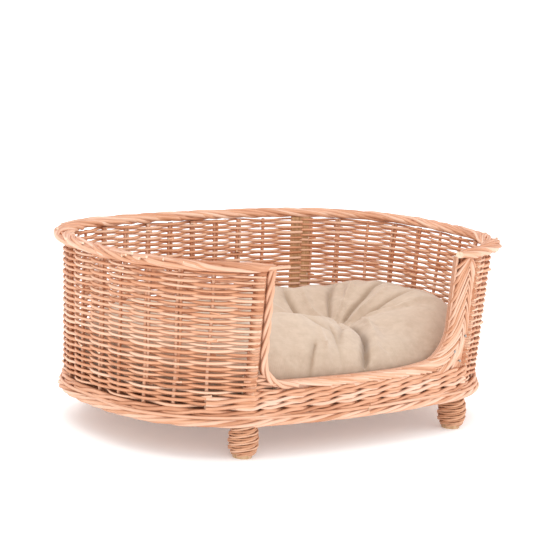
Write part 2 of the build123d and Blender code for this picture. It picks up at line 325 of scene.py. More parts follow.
def willow_grain_and_shade():
    """Peeled willow as colours and bumps: fine streaks stretched along the rod, broader blushes,
    a tone for each rod, pale pith where a rod is cut, and painted shade as a dark line where rods lie
    together."""
    group = bpy.data.node_groups.new("willow_grain_and_shade", "ShaderNodeTree")
    face = group.interface
    for title, kind, value in (("Shade", "NodeSocketColor", (0.5, 0.2, 0.1, 1)),
                               ("Body", "NodeSocketColor", (0.8, 0.5, 0.3, 1)),
                               ("Light", "NodeSocketColor", (0.9, 0.7, 0.5, 1)),
                               ("Streak Size", "NodeSocketFloat", 60.0)):
        socket = face.new_socket(title, in_out="INPUT", socket_type=kind)
        socket.default_value = value
    face.new_socket("Color", in_out="OUTPUT", socket_type="NodeSocketColor")
    face.new_socket("Roughness", in_out="OUTPUT", socket_type="NodeSocketFloat")
    face.new_socket("Height", in_out="OUTPUT", socket_type="NodeSocketFloat")
    nodes, links = group.nodes, group.links
    entry = nodes.new("NodeGroupInput")
    leave = nodes.new("NodeGroupOutput")
    along = nodes.new("ShaderNodeUVMap")
    along.uv_map = "along"
    stretch = nodes.new("ShaderNodeMapping")
    stretch.inputs["Scale"].default_value = (0.55, 2.2, 1.0)
    links.new(along.outputs["UV"], stretch.inputs["Vector"])
    place = nodes.new("ShaderNodeTexCoord").outputs["Object"]
    streak = add_noise(group, stretch.outputs["Vector"], 3.2, 5.0, 0.62)
    blush = add_noise(group, place, 9.0)
    fleck = add_noise(group, place, entry.outputs["Streak Size"], 3.0)
    tone = nodes.new("ShaderNodeAttribute")
    tone.attribute_name = "tone"

    def weighed(value, weight, add):
        """Value times weight, plus add."""
        node = nodes.new("ShaderNodeMath")
        node.operation = "MULTIPLY_ADD"
        links.new(value, node.inputs[0])
        node.inputs[1].default_value = weight
        if isinstance(add, float):
            node.inputs[2].default_value = add
        else:
            links.new(add, node.inputs[2])
        return node.outputs[0]

    mix = weighed(tone.outputs["Fac"], 0.40, -0.22)
    mix = weighed(streak, 0.62, mix)
    mix = weighed(blush, 0.34, mix)
    mix = weighed(fleck, 0.10, mix)
    colour = add_mix(group, add_range(group, mix, 0.12, 0.44), entry.outputs["Shade"], entry.outputs["Body"])
    colour = add_mix(group, add_range(group, mix, 0.42, 0.78), colour, entry.outputs["Light"])
    cut = nodes.new("ShaderNodeAttribute")
    cut.attribute_name = "cut_end"
    colour = add_mix(group, cut.outputs["Fac"], colour, (0.86, 0.72, 0.55))
    # Painted shade: each rod's colour is darkened towards (0.34, 0.108, 0.042) round its flanks, a quarter
    # and three quarters of the way round it, where it lies against the rods beside it.
    parts = nodes.new("ShaderNodeSeparateXYZ")
    links.new(along.outputs["UV"], parts.inputs["Vector"])
    painted_gap_shade = parts.outputs["Y"]
    for operation, number in (("MULTIPLY", 2 * math.pi), ("SINE", 0.0), ("ABSOLUTE", 0.0), ("POWER", 4.0),
                              ("MULTIPLY", 0.66)):
        step = nodes.new("ShaderNodeMath")
        step.operation = operation
        links.new(painted_gap_shade, step.inputs[0])
        step.inputs[1].default_value = number
        painted_gap_shade = step.outputs[0]
    links.new(add_mix(group, painted_gap_shade, colour, (0.34, 0.108, 0.042)), leave.inputs["Color"])
    links.new(weighed(streak, 0.30, 0.36), leave.inputs["Roughness"])
    links.new(weighed(fleck, 0.4, streak), leave.inputs["Height"])
    return group


grain_and_shade_group = willow_grain_and_shade()


def willow(name, shade, body, light, bump=0.25, streak=60.0):
    """Peeled willow with a soft low sheen; its colours run from shade through body to light."""
    material = bpy.data.materials.new(name)
    material.use_nodes = True
    tree = material.node_tree
    shader = tree.nodes["Principled BSDF"]
    grain_and_shade = tree.nodes.new("ShaderNodeGroup")
    grain_and_shade.node_tree = grain_and_shade_group
    for title, colour in (("Shade", shade), ("Body", body), ("Light", light)):
        grain_and_shade.inputs[title].default_value = (*colour, 1)
    grain_and_shade.inputs["Streak Size"].default_value = streak
    tree.links.new(add_bump(tree, grain_and_shade.outputs["Height"], bump, 0.0006), shader.inputs["Normal"])
    tree.links.new(grain_and_shade.outputs["Color"], shader.inputs["Base Color"])
    tree.links.new(grain_and_shade.outputs["Roughness"], shader.inputs["Roughness"])
    shader.inputs["Specular IOR Level"].default_value = 0.35
    return material


willow_shade = (0.48, 0.180, 0.080)
willow_body = (0.79, 0.410, 0.240)
willow_light = (0.92, 0.65, 0.48)
siding_willow = willow("siding_willow", willow_shade, willow_body, willow_light)
stake_willow = willow("stake_willow", willow_shade, willow_body, willow_light)


def finish_piece(piece, material, slot, *nodes):
    """Gives a woven piece its material and its body, and hides the nodes that it stands for."""
    piece.data.materials.clear()
    piece.data.materials.append(material)
    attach(piece, "basket")
    if nodes:
        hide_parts(*nodes)
    return piece


def mesh_points(piece):
    """All corner points of a piece, one row each."""
    points = np.empty(len(piece.data.vertices) * 3)
    piece.data.vertices.foreach_get("co", points)
    return points.reshape(-1, 3)


def set_points(piece, points):
    """Puts the corner points of a piece at new places."""
    piece.data.vertices.foreach_set("co", points.astype(np.float32).ravel())
    piece.data.update()


trace_s = np.linspace(0, round_length, 4000, endpoint=False)
trace_points = wall_point(trace_s, weave_foot, 0.0)[0][:, :2]


def standing_places(node):
    """Lengths along the wall where the separate uprights of a node stand."""
    points = mesh_points(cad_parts[node])
    feet = points[points[:, 2] < points[:, 2].min() + 0.002][:, :2]
    near = np.sort(trace_s[np.argmin(np.linalg.norm(feet[:, None] - trace_points[None], axis=-1), 1)])
    breaks = np.where(np.diff(near) > 0.012)[0] + 1
    return [float((part.min() + part.max()) / 2) for part in np.split(near, breaks)]


front_places = standing_places("stakes_front")
tall_nodes = ("stakes_right_end", "stakes_back", "stakes_left_end")
tall_places = sum((standing_places(node) for node in tall_nodes), [])
right_post = standing_places("right_jamb_post")[0]
left_post = standing_places("left_jamb_post")[0]
slat_place = standing_places("back_slat")[0]
stake_radius = 0.0033
post_radius = 0.005


def upright_rods(name, places, z_low, z_high, radius_low, radius_high, sway=0.0009, doubled=0.0):
    """Straight rods up the wall with a slow sideways sway, thinner at the top."""
    z = np.linspace(z_low, z_high, 18)
    places = np.asarray(places)[:, None]
    phase = rng.uniform(0, 6.28, places.shape)
    s = places + sway * np.sin(phase + z[None] * 38.0) + doubled
    path, normal = wall_point(s, z[None] + 0 * s, 0 * s)
    thick = np.linspace(radius_low, radius_high, len(z))[None] * rng.uniform(0.92, 1.08, places.shape)
    return rod_mesh(name, path, thick, normal, sides=8)


tall_low = upright_rods("tall_low", tall_places, weave_foot - 0.004, weave_head, stake_radius, 0.0027)
side_stake = rng.uniform(0.0, 1.0, len(tall_places)) < 0.75
second_places = [s for s, keep in zip(tall_places, side_stake) if keep]
tall_second = upright_rods("tall_second", second_places, weave_foot + 0.05, weave_head, 0.0022, 0.0026,
                           doubled=0.0046)
stakes = joined("stakes", [tall_low, tall_second])
finish_piece(stakes, stake_willow, "willow_stakes", "stakes_left_end", "stakes_back", "stakes_right_end")
sill_level = float(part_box("sill_plait")[0][2])
front_stakes = upright_rods("front_stakes", front_places, weave_foot - 0.004, sill_level + 0.004,
                            stake_radius, 0.003)
finish_piece(front_stakes, stake_willow, "willow_stakes", "stakes_front")
posts = upright_rods("jamb_posts", [left_post, right_post], weave_foot - 0.004, weave_head + 0.004,
                     post_radius, 0.0047, sway=0.0003)
finish_piece(posts, stake_willow, "willow_stakes", "left_jamb_post", "right_jamb_post")

# ---------------------------------------------------------------------------------------------
# Siding. Thin peeled weavers go in front of one stake and behind the next, every course opposite
# to the last, from one jamb post round the back to the other. Rods taper and are pieced.
# ---------------------------------------------------------------------------------------------
course_count = 46
siding_foot = weave_foot + 0.0175
weaver_radius = 0.00228
uprights = sorted([(s, stake_radius, stake_radius) for s in tall_places]
                  + [(slat_place, 0.0195, 0.0035), (right_post, post_radius, post_radius),
                     (left_post, post_radius, post_radius)])
upright_s = np.array([u[0] for u in uprights])
upright_half = np.array([u[1] for u in uprights])
upright_depth = np.array([u[2] for u in uprights])


def eased(t):
    """Smooth rise from 0 to 1 as a half cosine."""
    return 0.5 - 0.5 * np.cos(math.pi * np.clip(t, 0, 1))


def woven_out(s, signs, depth):
    """Distance from the wall's middle of a weaver that passes each upright on the side its sign
    gives, and crosses the middle in a half cosine between one upright and the next."""
    i = np.clip(np.searchsorted(upright_s, s) - 1, 0, len(uprights) - 2)
    start = upright_s[i] + upright_half[i]
    stop = upright_s[i + 1] - upright_half[i + 1]
    t = eased((s - start) / (stop - start))
    level = signs * depth
    return level[i] * (1 - t) + level[i + 1] * t


def slow_noise(s, count, wave, size):
    """Smooth wander of each row: three sines of random phase."""
    total = np.zeros((count, len(s)))
    for k in (1.0, 2.3, 4.1):
        total += np.sin(s[None] * k / wave + rng.uniform(0, 6.28, (count, 1))) / k
    return total * size


points_per_course = 420
course_s = np.linspace(upright_s[0] - 0.004, upright_s[-1] + 0.004, points_per_course)
course_z = np.linspace(siding_foot, weave_head - 0.002, course_count)
course_z = course_z + rng.uniform(-0.0003, 0.0003, course_count)
course_paths = np.zeros((course_count, points_per_course, 3))
course_guides = np.zeros_like(course_paths)
course_radii = np.zeros((course_count, points_per_course))
wander = slow_noise(course_s, course_count, 0.045, 0.00042)
rod_reach = 1.25
for row in range(course_count):
    signs = np.where((np.arange(len(uprights)) + row) % 2 == 0, 1.0, -1.0)
    share = np.mod((course_s - rng.uniform(0, rod_reach)) / rod_reach, 1.0)
    share = share if row % 4 < 2 else 1 - share
    course_radii[row] = weaver_radius * (1.22 - 0.42 * share) * rng.uniform(0.94, 1.05)
    out = woven_out(course_s, signs, upright_depth + weaver_radius)
    course_paths[row], course_guides[row] = wall_point(course_s, course_z[row] + wander[row], out)

band_edges = [0, 15, 30, course_count]
siding_nodes = ["siding_left_end", "siding_back", "siding_right_end"]
for band in range(3):
    low, high = band_edges[band], band_edges[band + 1]
    courses = rod_mesh(f"siding_courses_{band + 1}", course_paths[low:high], course_radii[low:high],
                       course_guides[low:high], sides=7)
    finish_piece(courses, siding_willow, "willow_weave", siding_nodes[band])

# Each course turns round the jamb post and starts back, so the posts are wrapped from top to toe.
turn_points = 20
turn_angle = np.arange(turn_points) * 2 * math.pi / turn_points
for side, post in (("left", left_post), ("right", right_post)):
    wrap_count = 50
    level = np.linspace(siding_foot - 0.002, weave_head, wrap_count)
    reach = post_radius + weaver_radius
    s = post + reach * np.cos(turn_angle)[None] + np.zeros((wrap_count, 1))
    out = reach * 0.98 * np.sin(turn_angle)[None] + rng.uniform(-0.0004, 0.0004, (wrap_count, 1))
    z = level[:, None] + 0.0011 * np.cos(turn_angle + 0.8)[None]
    path, normal = wall_point(s, z, out)
    wraps = rod_mesh(f"{side}_post_wraps", path, rng.uniform(0.9, 1.1, (wrap_count, 1)) * weaver_radius,
                     np.array([0, 0, 1.0]), sides=7, closed=True)
    finish_piece(wraps, siding_willow, "willow_weave")

# Cut butts and tips of pieced rods stand out of the face of the weave.
stub_count = 90
stub_s = rng.uniform(upright_s[0] + 0.02, upright_s[-1] - 0.02, stub_count)
stub_s = upright_s[np.clip(np.searchsorted(upright_s, stub_s), 1, len(upright_s) - 2)]
stub_s = stub_s + rng.uniform(0.004, 0.010, stub_count)
stub_z = rng.uniform(siding_foot, weave_head - 0.004, stub_count)
stub_side = np.where(rng.uniform(0, 1, stub_count) < 0.6, 1.0, -1.0)
t = np.linspace(0, 1, 4)[None]
stub_out = stub_side[:, None] * (0.004 + 0.0045 * t)
stub_path, stub_guide = wall_point(stub_s[:, None] - 0.011 + 0.014 * t,
                                   stub_z[:, None] + rng.uniform(-0.002, 0.003, (stub_count, 1)) * t,
                                   stub_out)
stubs = rod_mesh("weaver_ends", stub_path, rng.uniform(0.0014, 0.0022, (stub_count, 1)), stub_guide, sides=6)
finish_piece(stubs, siding_willow, "willow_weave")

# ---------------------------------------------------------------------------------------------
# Wales. Three thick rods work together: each passes in front of two stakes and behind the third,
# rising as it goes. One round sets up the stakes; more rounds fill the low wall under the sill.
# ---------------------------------------------------------------------------------------------
wale_radius = 0.0031
ring_stops = sorted(tall_places + front_places + [left_post, right_post, slat_place])
wale_willow = willow("wale_willow", (0.44, 0.165, 0.075), (0.75, 0.395, 0.240), (0.90, 0.63, 0.48),
                     bump=0.35)


def wale_rods(name, stops, level, start_phase):
    """Three rods through a list of stops. At each stop a rod is low in front, high in front or
    behind, in turn, and moves between them in half cosines."""
    stops = np.asarray(stops)
    s = np.linspace(stops[0], stops[-1], (len(stops) - 1) * 12 + 1)
    i = np.clip(np.searchsorted(stops, s, side="right") - 1, 0, len(stops) - 2)
    t = eased((s - stops[i]) / (stops[i + 1] - stops[i]))
    out_at = np.array([0.0066, 0.0066, -0.0064])
    rise_at = np.array([-0.0031, 0.0031, 0.0])
    paths, guides, thick = [], [], []
    for rod in range(3):
        phase = (np.arange(len(stops)) + rod + start_phase) % 3
        out = out_at[phase][i] * (1 - t) + out_at[phase][i + 1] * t
        z = level + rise_at[phase][i] * (1 - t) + rise_at[phase][i + 1] * t
        path, normal = wall_point(s, z + slow_noise(s, 1, 0.06, 0.0003)[0], out)
        paths.append(path)
        guides.append(normal)
        thick.append(wale_radius * (1 + 0.12 * np.sin(s * 4.1 + rod * 2.1)))
    return rod_mesh(name, np.array(paths), np.array(thick), np.array(guides), sides=8)


around = ring_stops + [ring_stops[0] + round_length]
upsett = wale_rods("upsett_wale_rods", around, weave_foot + 0.0085, 0)
finish_piece(upsett, wale_willow, "willow_weave", "upsett_wale")
front_edge = [s - round_length if s > round_length / 2 else s for s in ring_stops]
front_run = sorted(s for s in front_edge if -0.31 < s < 0.285)
front_rounds = [wale_rods(f"front_round_{k}", front_run, weave_foot + 0.0187 + 0.0088 * k, k + 1)
                for k in range(2)]
short_run = [s for s in front_run if left_post - round_length - 0.001 < s < right_post + 0.001]
front_rounds.append(wale_rods("front_round_top", short_run, weave_foot + 0.0360, 0))
front_wale = joined("front_wale_rods", front_rounds)
finish_piece(front_wale, wale_willow, "willow_weave", "front_wale")

# ---------------------------------------------------------------------------------------------
# Foot border. Five long rods are roped round the bottom edge, with two slack ones lying on top;
# it stands proud of the wall and hides where the stakes are pricked up.
# ---------------------------------------------------------------------------------------------
border_willow = willow("border_willow", (0.44, 0.165, 0.075), (0.75, 0.395, 0.240), (0.90, 0.64, 0.49),
                       bump=0.3)
border_low = float(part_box("foot_border")[0][2])


def roped(name, s, z, out, strands, half_width, half_height, pitch, radius, lay=1.0, sides=8, wobble=0.06,
          fade=None, bumps=0.0):
    """Strands wound round a line on the wall: each keeps to an ellipse about the line, swollen here
    and there by bumps, and turns once in a pitch of length, the way that lay gives."""
    s = np.asarray(s)
    phase = 2 * math.pi * (np.arange(strands)[:, None] / strands - lay * (s - s[0])[None] / pitch)
    phase = phase + slow_noise(s, strands, 0.05, wobble)
    swell = (1.0 if fade is None else fade[None]) * (1 + slow_noise(s, strands, 0.020, bumps))
    rod_out = out + half_width * swell * np.cos(phase)
    rod_z = z + half_height * swell * np.sin(phase)
    path, normal = wall_point(s[None] + 0 * phase, rod_z, rod_out)
    thick = radius * rng.uniform(0.93, 1.07, (strands, 1)) * (1 + slow_noise(s, strands, 0.11, 0.05))
    return rod_mesh(name, path, thick, normal, sides=sides)


round_s = np.linspace(0, round_length, 760)
border_rope = roped("border_rope", round_s, border_low + 0.0068, 0.0080, 5, 0.0046, 0.0036, 0.165, 0.0030,
                    lay=-1.0, wobble=0.16, bumps=0.09)
border_cap = roped("border_cap", round_s, weave_foot + 0.0022, 0.0078, 2, 0.0026, 0.0014, 0.52, 0.0029,
                   lay=-1.0)
foot_border = joined("foot_border_rods", [border_rope, border_cap])
finish_piece(foot_border, border_willow, "willow_border", "foot_border")

# ---------------------------------------------------------------------------------------------
# Rolled rim. The stakes are bent over and rolled outwards into a broad roped border, rod over
# rod, from one side of the entry round to the other. Some tips are left standing out of it.
# ---------------------------------------------------------------------------------------------
rim_middle = 0.5 * (weave_head + rim_head)
rim_start = 0.170
rim_stop = round_length - 0.193
rim_s = np.linspace(rim_start, rim_stop, 620)
rim_fade = 0.35 + 0.65 * eased((rim_s - rim_start) / 0.03) * eased((rim_stop - rim_s) / 0.03)
rim_out = 0.0062
rim_rods = roped("rim_rods", rim_s, rim_middle, rim_out, 8, 0.0122, 0.0044, 0.195, 0.0032, lay=1.0,
                 wobble=0.30, fade=rim_fade, bumps=0.10)
rim_under = roped("rim_under", rim_s, rim_middle - 0.0008, rim_out, 5, 0.0086, 0.0022, 0.33, 0.0028, lay=-1.0,
                  wobble=0.2, fade=rim_fade)
rim_heart = roped("rim_heart", rim_s, rim_middle - 0.002, rim_out, 2, 0.0042, 0.0010, 0.30, 0.0034,
                  fade=rim_fade)
tip_count = 34
tip_s = rng.uniform(rim_start + 0.1, rim_stop - 0.02, tip_count)
tip_s[:13] = rng.uniform(3 * quarter_length - 0.10, 3 * quarter_length + 0.16, 13)
t = np.linspace(0, 1, 8)[None]
tip_run = rng.uniform(0.035, 0.055, (tip_count, 1))
tip_out = 0.010 + rng.uniform(0.004, 0.011, (tip_count, 1)) * t ** 1.6
tip_z = rim_middle + rng.uniform(-0.003, 0.0045, (tip_count, 1))
tip_z = tip_z + rng.uniform(-0.002, 0.004, (tip_count, 1)) * t ** 2
tip_path, tip_guide = wall_point(tip_s[:, None] + tip_run * t, tip_z, tip_out)
rim_tips = rod_mesh("rim_tips", tip_path, rng.uniform(0.0022, 0.0031, (tip_count, 1)) * (1 - 0.15 * t),
                    tip_guide, sides=7)
rim = joined("rim_border_rods", [rim_rods, rim_under, rim_heart, rim_tips])
finish_piece(rim, border_willow, "willow_border", "rim_border")

# ---------------------------------------------------------------------------------------------
# Edging of the entry. A plait of three-rod strokes covers the sill and widens up the right jamb;
# a three-rod rope binds the left jamb and flows into the sill.
# ---------------------------------------------------------------------------------------------
plait_willow = willow("plait_willow", (0.43, 0.160, 0.072), (0.74, 0.390, 0.235), (0.89, 0.62, 0.47),
                      bump=0.3)
sill_high = float(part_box("sill_plait")[1][2])
sill_middle = 0.5 * (sill_level + sill_high)
jamb_middle = 0.1965
bend_radius = 0.068
run_start = -0.166
bend_start = jamb_middle - bend_radius
sill_run = bend_start - run_start
bend_run = bend_radius * math.pi / 2
jamb_run = weave_head + 0.004 - (sill_middle + bend_radius)
edging_length = sill_run + bend_run + jamb_run


def edging_line(t):
    """Middle of the plait on the wall, as length s, height z and the direction square to it: along
    the sill, round a quarter circle and up the jamb."""
    turn = np.clip((t - sill_run) / bend_radius, 0, math.pi / 2)
    after = np.clip(t - sill_run - bend_run, 0, None)
    s = np.where(t < sill_run, run_start + t, bend_start + bend_radius * np.sin(turn))
    z = sill_middle + bend_radius * (1 - np.cos(turn)) + after
    return s, z, -np.sin(turn), np.cos(turn)


def edging_widen(t):
    """How far the edging has grown from the low sill plait, 0, to the broad jamb plait, 1."""
    return eased((t - sill_run * 0.72) / (sill_run * 0.28 + bend_run))


def edging_half(t):
    """Half width of the edging: narrow on the sill, broad up the jamb."""
    return 0.0074 + 0.0152 * edging_widen(t)


# Strokes of three rods run up from each edge to the middle of the plait, those from the entry's
# side ending on top, where their cut ends show, and those from the outer side passing under.
stroke_paths, stroke_guides, stroke_radii = [], [], []
rod_step = 0.0135
stroke_rod_radius = 0.00262
shortest_rod = 0.014
u = np.linspace(0, 1, 30)
for side in (1.0, -1.0):
    start = -0.012 if side > 0 else 0.008
    while start < edging_length - 0.016:
        grown = float(edging_widen(start + 0.02))
        length = 0.092 - 0.024 * grown
        for rod in range(3):
            rod_start = max(start + rod * rod_step, 0.0)
            rod_length = min(length, edging_length + 0.002 - rod_start)
            if rod_length < shortest_rod:
                continue
            t = rod_start + rod_length * u
            line_s, line_z, square_s, square_z = edging_line(t)
            across = side * edging_half(t) * (1 - 1.10 * u ** 1.45) + 0.0004 * np.sin(t * 70 + rod * 2)
            tucked_in = 0.0060 * np.clip(1 - u / 0.22, 0, 1) ** 1.5
            if side > 0:
                out = 0.0032 + 0.0034 * eased(u * 1.3) - tucked_in
            else:
                out = 0.0034 + 0.0012 * np.sin(math.pi * u) - 0.0052 * eased((u - 0.62) / 0.38) - tucked_in
            path, normal = wall_point(line_s + square_s * across, line_z + square_z * across, out)
            stroke_paths.append(path)
            stroke_guides.append(normal)
            stroke_radii.append(stroke_rod_radius * rng.uniform(0.92, 1.08) * (1.06 - 0.14 * u))
        start += 0.0385 + 0.0035 * grown
plait = rod_mesh("entry_plait", np.array(stroke_paths), np.array(stroke_radii), np.array(stroke_guides),
                 sides=8)
edging_t = np.linspace(0, edging_length, 300)
line_s, line_z, square_s, square_z = edging_line(edging_t)
lining_half = edging_half(edging_t)
lining_paths, lining_guides = [], []
for lane, depth in ((-0.92, -0.0045), (-0.62, -0.0058), (-0.31, -0.0060), (0.0, -0.0060), (0.31, -0.0058),
                    (0.62, -0.0058), (0.90, -0.0062), (1.0, -0.0015), (-0.80, -0.0008), (-0.4, -0.0010),
                    (0.0, -0.0010), (0.45, -0.0010)):
    across = lane * lining_half
    path, normal = wall_point(line_s + square_s * across, line_z + square_z * across, depth)
    lining_paths.append(path)
    lining_guides.append(normal)
lining = rod_mesh("entry_lining", np.array(lining_paths), 0.0029, np.array(lining_guides), sides=8)

# Rods that leave the plait at its outer edge run down beside it and are tucked into the wale.
tuck_count = 6
drop = np.linspace(0, 1, 40)[None]
tuck_top = np.linspace(0.224, 0.214, tuck_count)[:, None]
tuck_foot = np.linspace(0.217, 0.178, tuck_count)[:, None]
tuck_s = tuck_top + (tuck_foot - tuck_top) * drop ** 1.7 + 0.0006 * np.sin(drop * 19 + tuck_top * 900)
tuck_z = np.linspace(0.205, 0.160, tuck_count)[:, None] * (1 - drop) + (sill_level - 0.006) * drop
tuck_path, tuck_guide = wall_point(tuck_s, tuck_z, 0.0016 + 0.0014 * np.sin(drop * 5 + tuck_top * 400))
tucked = rod_mesh("tucked_rods", tuck_path, rng.uniform(0.0027, 0.0031, (tuck_count, 1)), tuck_guide, sides=8)
entry_plait = joined("entry_plait_rods", [plait, lining, tucked])
finish_piece(entry_plait, plait_willow, "willow_border", "sill_plait", "right_jamb_plait")

rope_middle = -0.1935
rope_bend = 0.040
rope_top = weave_head + 0.008
rope_drop = rope_top - (sill_middle + 0.004 + rope_bend)
rope_length = rope_drop + rope_bend * math.pi / 2 + 0.020
rope_t = np.linspace(0, rope_length, 220)
turn = np.clip((rope_t - rope_drop) / rope_bend, 0, math.pi / 2)
after = np.clip(rope_t - rope_drop - rope_bend * math.pi / 2, 0, None)
rope_s = rope_middle + rope_bend * (1 - np.cos(turn)) + after
rope_z = np.where(rope_t < rope_drop, rope_top - rope_t, sill_middle + 0.004 + rope_bend * (1 - np.sin(turn)))
rope_square_s = np.cos(turn)
rope_square_z = np.sin(turn)
rope_paths, rope_guides = [], []
for strand in range(3):
    phase = 2 * math.pi * (rope_t / 0.082 + strand / 3)
    across = 0.0033 * np.cos(phase)
    path, normal = wall_point(rope_s + rope_square_s * across, rope_z + rope_square_z * across,
                              0.0035 + 0.0033 * np.sin(phase))
    rope_paths.append(path)
    rope_guides.append(normal)
for lane in (-0.002, 0.0025):
    path, normal = wall_point(rope_s + rope_square_s * lane, rope_z + rope_square_z * lane, -0.0042)
    rope_paths.append(path)
    rope_guides.append(normal)
rope_rods = rod_mesh("rope_rods", np.array(rope_paths), 0.0033, np.array(rope_guides), sides=9)

# Short rods fill the corner under the rope's bend, each a little shorter than the one below it.
fill_stop = np.array([-0.146, -0.153, -0.163, -0.172, -0.179, -0.184])[:, None]
fill_run = np.linspace(0, 1, 24)[None]
fill_s = -0.222 + (fill_stop + 0.222) * fill_run
fill_z = (sill_level + 0.0015 + 0.0052 * np.arange(6))[:, None] + 0.0008 * np.sin(fill_s * 120)
fill_sign = np.array([1.0, -1.0, 1.0, -1.0, 1.0, -1.0])[:, None]
fill_out = 0.0010 + 0.0046 * fill_sign * np.cos((fill_s - (left_post - round_length)) * 90)
fill_path, fill_guide = wall_point(fill_s, fill_z, fill_out)
corner_fill = rod_mesh("corner_fill", fill_path, 0.0026, fill_guide, sides=8)
left_rope = joined("left_jamb_rope_rods", [rope_rods, corner_fill])
finish_piece(left_rope, plait_willow, "willow_border", "left_jamb_rope")

# ---------------------------------------------------------------------------------------------
# Feet. A turned softwood peg is waled over with fine split willow from under the border almost
# to its flat foot; the strokes rise to the right like the wales of the basket.
# ---------------------------------------------------------------------------------------------
skein_willow = willow("skein_willow", (0.38, 0.145, 0.065), (0.70, 0.37, 0.215), (0.88, 0.62, 0.46), bump=0.4,
                      streak=120.0)
foot_nodes = [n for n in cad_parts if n.startswith("foot_winding")]
wind_turns = 8.0
wind_posts = 9
for node in sorted(foot_nodes):
    low, high = (np.array(corner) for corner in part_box(node))
    middle = 0.5 * (low + high)
    reach = 0.5 * (high[0] - low[0]) - 0.0022
    t = np.linspace(0, 1, int(wind_turns * 44) + 1)
    angle = 2 * math.pi * wind_turns * t
    paths, guides = [], []
    for rod in range(3):
        weave = angle * wind_posts / 6.0 + rod * 2 * math.pi / 3
        level = low[2] - 0.0012 + (high[2] - low[2] + 0.001) * t + 0.0026 * np.sin(weave)
        height = (level - low[2]) / (high[2] - low[2])
        barrel = reach - 0.0036 * (2 * height - 1) ** 2 - 0.0012 * np.clip(0.12 - height, 0, 1) * 20
        out = barrel - 0.0003 + 0.0021 * np.cos(weave)
        paths.append(np.stack([middle[0] + out * np.cos(angle), middle[1] + out * np.sin(angle), level], -1))
        guides.append(np.stack([np.cos(angle), np.sin(angle), 0 * angle], -1))
    winding = rod_mesh(node + "_skeins", np.array(paths), 0.00175, np.array(guides), sides=7)
    finish_piece(winding, skein_willow, "willow_winding", node)

# ---------------------------------------------------------------------------------------------
# Woven base. Long sticks lie under the cross sticks, and willow weavers run the length of the
# basket over one cross stick and under the next, packed close; the foot border hides their ends.
# ---------------------------------------------------------------------------------------------
base_low = float(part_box("base_weave")[0][2])
base_middle = 0.5 * (base_low + float(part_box("base_weave")[1][2]))
stick_radius = 0.0025
stick_rise = 0.0029
base_inset = 0.010


def base_half_length(y):
    """Half length of the base at a distance from its middle line: the flat end, or its corner arc."""
    past = np.clip(np.abs(y) - corner_y, 0, corner_radius - base_inset)
    return corner_x + np.sqrt((corner_radius - base_inset) ** 2 - past ** 2)


def base_half_width(x):
    """Half width of the base at a distance from its middle: the shallow side arc, or its corner."""
    past = np.clip(np.abs(x) - corner_x, 0, corner_radius - base_inset)
    at_side = np.sqrt((side_radius - base_inset) ** 2 - np.minimum(np.abs(x), corner_x) ** 2) - side_centre
    return np.where(np.abs(x) > corner_x, corner_y + np.sqrt((corner_radius - base_inset) ** 2 - past ** 2),
                    at_side)


cross_pitch = 0.054
cross_x = (np.arange(12) - 5.5) * cross_pitch
cross_half = base_half_width(cross_x) - 0.006
reach = np.linspace(-1, 1, 24)[None]
cross_path = np.stack([cross_x[:, None] + 0 * reach, plan_centre_y + cross_half[:, None] * reach,
                       base_middle + stick_rise + 0 * cross_x[:, None] * reach], -1)
cross_sticks = rod_mesh("cross_sticks", cross_path, stick_radius, np.array([0, 0, 1.0]), sides=10)
finish_piece(cross_sticks, stake_willow, "willow_base", "base_cross_sticks")
long_pitch = 0.078
long_y = (np.arange(5) - 2) * long_pitch
long_half = base_half_length(long_y) - 0.006
long_path = np.stack([long_half[:, None] * reach, plan_centre_y + long_y[:, None] + 0 * reach,
                      base_middle - stick_rise + 0 * long_y[:, None] * reach], -1)
long_sticks = rod_mesh("long_sticks", long_path, stick_radius, np.array([0, 0, 1.0]), sides=10)
finish_piece(long_sticks, stake_willow, "willow_base", "base_long_sticks")

row_y = np.linspace(-0.206, 0.206, 92)
row_half = base_half_length(row_y)
row_u = np.linspace(-1, 1, 150)[None]
row_x = row_half[:, None] * row_u
row_sign = np.where(np.arange(len(row_y)) % 2 == 0, 1.0, -1.0)[:, None]
row_z = base_middle + 0.0010 + 0.0034 * row_sign * np.cos(math.pi * (row_x / cross_pitch + 0.5))
row_wander = slow_noise(row_u[0] * 0.3, len(row_y), 0.05, 0.0003)
row_path = np.stack([row_x, plan_centre_y + row_y[:, None] + row_wander, row_z], -1)
row_thick = rng.uniform(0.0020, 0.0024, (len(row_y), 1))
base_rows = rod_mesh("base_rows", row_path, row_thick, np.array([0, 0, 1.0]), sides=6)
finish_piece(base_rows, siding_willow, "willow_base", "base_weave")

# ---------------------------------------------------------------------------------------------
# Back slat, pegs, dowels and nails. The slat is a planed lath with eased edges, woven in like a
# stake. The pegs and dowels are turned softwood; three small nails hold the end of the plait.
# ---------------------------------------------------------------------------------------------


def wood(name, dark, middle, pale, stretch):
    """Planed or turned softwood: growth lines as stretched noise, fine pores, soft satin."""
    material = bpy.data.materials.new(name)
    material.use_nodes = True
    tree = material.node_tree
    shader = tree.nodes["Principled BSDF"]
    squeeze = tree.nodes.new("ShaderNodeMapping")
    squeeze.inputs["Scale"].default_value = stretch
    tree.links.new(tree.nodes.new("ShaderNodeTexCoord").outputs["Object"], squeeze.inputs["Vector"])
    growth = add_noise(tree, squeeze.outputs["Vector"], 1.0, 6.0, distortion=0.6)
    colour = add_ramp(tree, growth, ((0.30, dark), (0.5, middle), (0.72, pale)))
    tree.links.new(colour, shader.inputs["Base Color"])
    tree.links.new(add_range(tree, growth, 0.0, 1.0, 0.42, 0.68), shader.inputs["Roughness"])
    tree.links.new(add_bump(tree, growth, 0.3, 0.0004), shader.inputs["Normal"])
    return material


